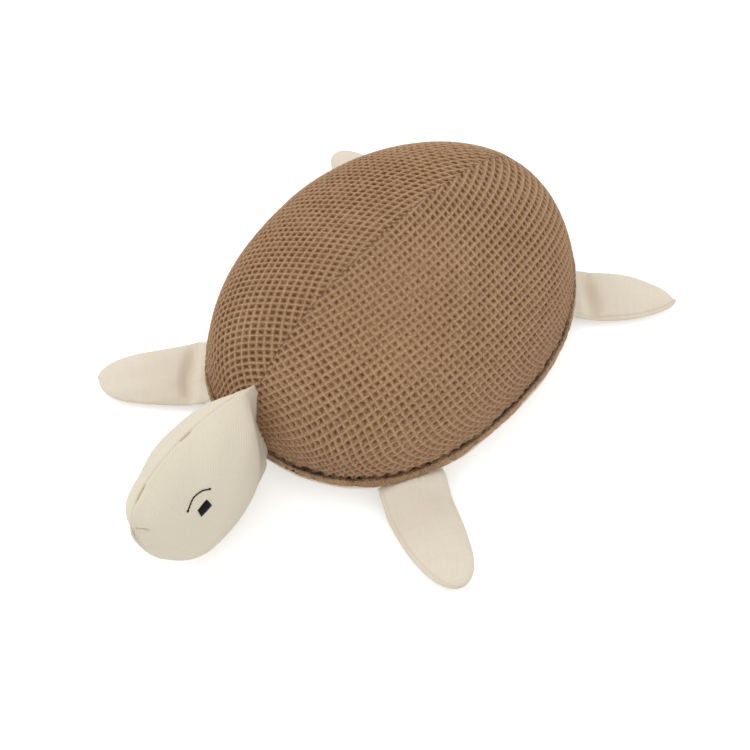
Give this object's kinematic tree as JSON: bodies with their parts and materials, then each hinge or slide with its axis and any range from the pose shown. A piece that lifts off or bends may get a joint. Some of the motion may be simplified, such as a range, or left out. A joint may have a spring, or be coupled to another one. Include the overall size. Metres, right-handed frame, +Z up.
{
  "type": "plush turtle",
  "caption": "Stuffed turtle cushion toy: waffle-weave dome shell with a gathered hem, flat belly, twill head that nods and turns, and four flat flippers that lift at their root seams.",
  "frame": {"origin": "on the surface that the belly rests on, under the middle of the shell's length and width", "axes": "+Z up, -Y towards the nose, +X towards the turtle's left"},
  "size_m": [0.3193, 0.4419, 0.117],
  "materials": {
    "waffle_brown": "matt waffle-weave cotton",
    "twill_cream": "matt cotton twill",
    "linen_cream": "matt plain-weave cotton and linen",
    "belly_cream": "matt plain-weave cotton",
    "fibre_white": "loose polyester fibre",
    "thread_brown": "spun thread",
    "thread_cream": "spun thread",
    "embroidery_black": "satin-stitched thread with a slight sheen"
  },
  "bodies": {
    "body": {"shell_left_panel": "waffle_brown", "shell_right_panel": "waffle_brown", "shell_centre_seam": "thread_brown", "shell_hem_band": "waffle_brown", "hem_gather_thread": "thread_brown", "belly_panel": "belly_cream", "body_filling": "fibre_white"},
    "neck": {"neck_filling": "fibre_white"},
    "head": {"head_left_panel": "twill_cream", "head_right_panel": "twill_cream", "head_filling": "fibre_white", "head_crest_seam": "thread_cream", "nose_dart_left": "thread_cream", "nose_dart_right": "thread_cream", "eye_left": "embroidery_black", "eye_right": "embroidery_black", "eyelid_stitch_left": "embroidery_black", "eyelid_stitch_right": "embroidery_black"},
    "front_left_flipper": {"front_left_flipper_top_panel": "linen_cream", "front_left_flipper_bottom_panel": "linen_cream", "front_left_flipper_filling": "fibre_white", "front_left_flipper_edge_seam": "thread_cream"},
    "front_right_flipper": {"front_right_flipper_top_panel": "linen_cream", "front_right_flipper_bottom_panel": "linen_cream", "front_right_flipper_filling": "fibre_white", "front_right_flipper_edge_seam": "thread_cream"},
    "rear_left_flipper": {"rear_left_flipper_top_panel": "linen_cream", "rear_left_flipper_bottom_panel": "linen_cream", "rear_left_flipper_filling": "fibre_white", "rear_left_flipper_edge_seam": "thread_cream"},
    "rear_right_flipper": {"rear_right_flipper_top_panel": "linen_cream", "rear_right_flipper_bottom_panel": "linen_cream", "rear_right_flipper_filling": "fibre_white", "rear_right_flipper_edge_seam": "thread_cream"}
  },
  "joints": [
    {"name": "head_turn", "type": "hinge", "parent": "body", "child": "neck", "pos_m": [-0.0116, -0.15576, 0.042], "axis": [0, 0, 1], "range_deg": [-8, 8], "stiffness_Nm_per_rad": 0.05},
    {"name": "head_nod", "type": "hinge", "parent": "neck", "child": "head", "pos_m": [-0.01616, -0.14766, 0.079], "axis": [-1, 0, 0], "range_deg": [0, 25]},
    {"name": "front_left_flipper_lift", "type": "hinge", "parent": "body", "child": "front_left_flipper", "pos_m": [0.09249, -0.11436, 0.021], "axis": [-0.5438, -0.8392, 0], "range_deg": [0, 60]},
    {"name": "front_right_flipper_lift", "type": "hinge", "parent": "body", "child": "front_right_flipper", "pos_m": [-0.08576, -0.1237, 0.021], "axis": [-0.6249, 0.7807, 0], "range_deg": [0, 60]},
    {"name": "rear_left_flipper_lift", "type": "hinge", "parent": "body", "child": "rear_left_flipper", "pos_m": [0.08943, 0.10267, 0.021], "axis": [0.5394, -0.8421, 0], "range_deg": [0, 60]},
    {"name": "rear_right_flipper_lift", "type": "hinge", "parent": "body", "child": "rear_right_flipper", "pos_m": [-0.08943, 0.10267, 0.021], "axis": [0.5394, 0.8421, 0], "range_deg": [0, 60]}
  ]
}
